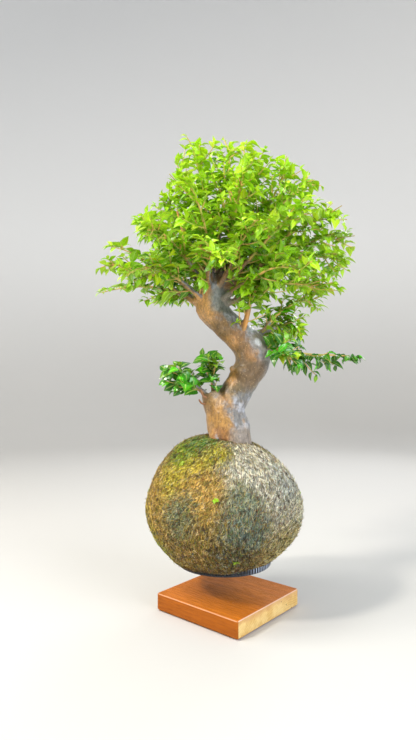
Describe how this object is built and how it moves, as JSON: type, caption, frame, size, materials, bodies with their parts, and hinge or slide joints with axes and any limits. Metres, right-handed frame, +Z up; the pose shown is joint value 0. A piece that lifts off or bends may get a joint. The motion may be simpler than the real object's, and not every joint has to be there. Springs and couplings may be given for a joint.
{
  "type": "kokedama moss ball plant",
  "caption": "S-shaped leafy bonsai rooted in a moss ball that floats, free to spin, over a square wooden magnet base.",
  "frame": {"origin": "middle of the base's underside, on the surface that it stands on", "axes": "+Z up along the trunk and the hover axis, -Y towards the tree's front, where a corner of the base points"},
  "size_m": [0.2743, 0.2076, 0.4661],
  "materials": {
    "base_wood": "oiled, fine straight grain",
    "base_plastic": "moulded, matt",
    "pad_rubber": "matt",
    "board": "green circuit board",
    "ferrite": "dull grey",
    "copper": "wound copper wire",
    "steel": "plain",
    "tray_plastic": "black, satin",
    "magnet": "nickel plated",
    "soil": "damp, crumbly",
    "moss": "short fibres, olive to tan",
    "bark": "smooth tan bark with grey patches",
    "leaf": "soft gloss, bright green"
  },
  "bodies": {
    "base": {"base_block": "base_wood", "base_plate": "base_plastic", "base_pad": "pad_rubber", "circuit_board": "board", "ring_magnet": "ferrite", "coil_1": "copper", "coil_2": "copper", "coil_3": "copper", "coil_4": "copper", "hall_sensor": "base_plastic", "power_jack": "base_plastic", "screw_1": "steel", "screw_2": "steel", "screw_3": "steel", "screw_4": "steel"},
    "plant": {"magnet_tray": "tray_plastic", "disc_magnet": "magnet", "root_ball": "soil", "moss": "moss", "trunk": "bark", "shoot_01": "leaf", "shoot_02": "leaf", "shoot_03": "leaf", "shoot_04": "leaf", "shoot_05": "leaf", "shoot_06": "leaf", "shoot_07": "leaf", "shoot_08": "leaf", "shoot_09": "leaf", "shoot_10": "leaf", "shoot_11": "leaf", "shoot_12": "leaf", "shoot_13": "leaf", "shoot_14": "leaf", "shoot_15": "leaf", "shoot_16": "leaf", "shoot_17": "leaf", "shoot_18": "leaf", "shoot_19": "leaf", "shoot_20": "leaf", "shoot_21": "leaf", "shoot_22": "leaf", "shoot_23": "leaf", "shoot_24": "leaf", "shoot_25": "leaf", "shoot_26": "leaf", "shoot_27": "leaf", "shoot_28": "leaf", "shoot_29": "leaf", "shoot_30": "leaf", "shoot_31": "leaf", "shoot_32": "leaf", "shoot_33": "leaf", "shoot_34": "leaf", "shoot_35": "leaf", "shoot_36": "leaf", "shoot_37": "leaf", "shoot_38": "leaf"}
  },
  "joints": [
    {"name": "float_spin", "type": "hinge", "parent": "base", "child": "plant", "pos_m": [-0.004, 0, 0.0464], "axis": [0, 0, 1], "continuous": true}
  ]
}
